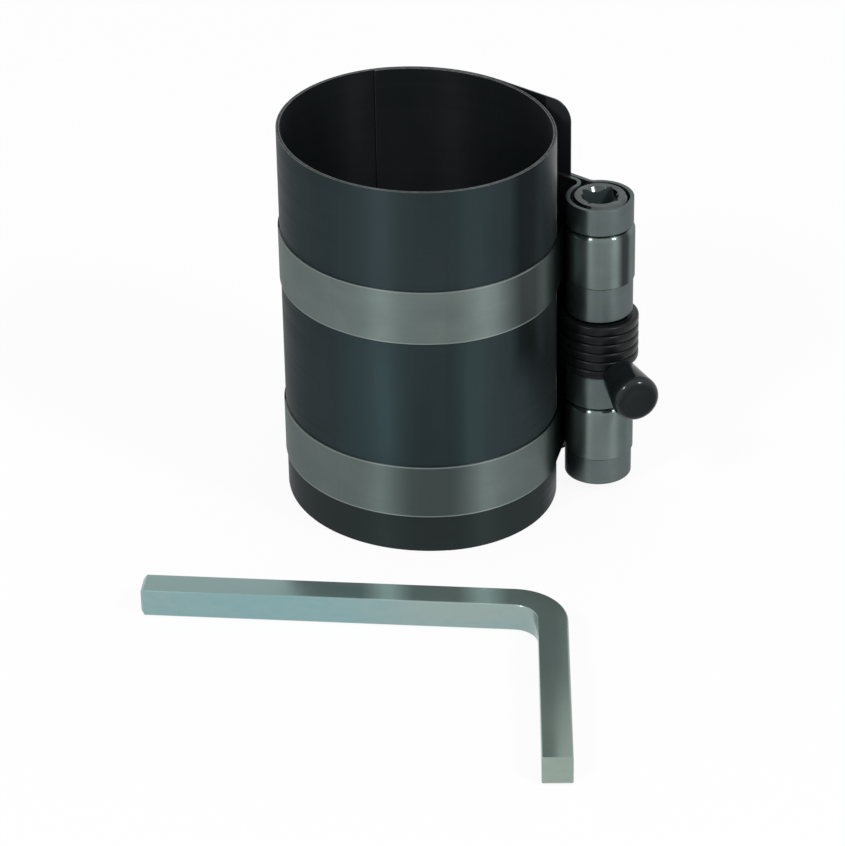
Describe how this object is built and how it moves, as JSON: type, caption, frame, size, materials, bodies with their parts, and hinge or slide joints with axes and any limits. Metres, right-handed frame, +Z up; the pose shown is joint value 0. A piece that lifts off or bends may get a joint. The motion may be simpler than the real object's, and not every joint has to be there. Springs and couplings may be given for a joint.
{
  "type": "piston ring compressor",
  "caption": "Rolled spring-steel sleeve that squeezes piston rings, closed by straps wound on a key-turned spindle with a sprung release lever; a bent square key lies beside it.",
  "frame": {"origin": "on the sleeve's axis, at its lower rim", "axes": "+Z up along the sleeve, +X towards the spindle, +Y away from the camera of the picture"},
  "size_m": [0.1013, 0.1323, 0.08],
  "materials": {
    "blued_sheet": "glossy blue-black",
    "bare_steel": "bare, lightly oiled",
    "strap_steel": "rolled, satin",
    "black_wire": "black oxide",
    "spindle_steel": "turned",
    "black_plastic": "moulded, semi-matt",
    "zinc_plate": "zinc plated"
  },
  "bodies": {
    "sleeve": {"compression_band": "blued_sheet", "spindle_bracket": "bare_steel", "upper_strap": "strap_steel", "lower_strap": "strap_steel", "clutch_spring": "black_wire"},
    "spindle": {"spindle": "spindle_steel", "upper_strap_coil": "strap_steel", "lower_strap_coil": "strap_steel"},
    "lever": {"spring_tail": "black_wire", "lever_grip": "black_plastic"},
    "key": {"square_key": "zinc_plate"}
  },
  "joints": [
    {"name": "spindle_turn", "type": "hinge", "parent": "sleeve", "child": "spindle", "pos_m": [0.03548, 0, 0.0333], "axis": [0, 0, 1], "range_deg": [0, 1800], "deforming": ["upper_strap", "lower_strap", "upper_strap_coil", "lower_strap_coil"]},
    {"name": "lever_release", "type": "hinge", "parent": "sleeve", "child": "lever", "pos_m": [0.03548, 0, 0.0288], "axis": [0, 0, 1], "range_deg": [-20, 0], "stiffness_Nm_per_rad": 0.02, "deforming": ["clutch_spring"]},
    {"name": "key_lift", "type": "slide", "parent": "sleeve", "child": "key", "axis": [0, 0, 1], "range_m": [0, 0.1]}
  ]
}
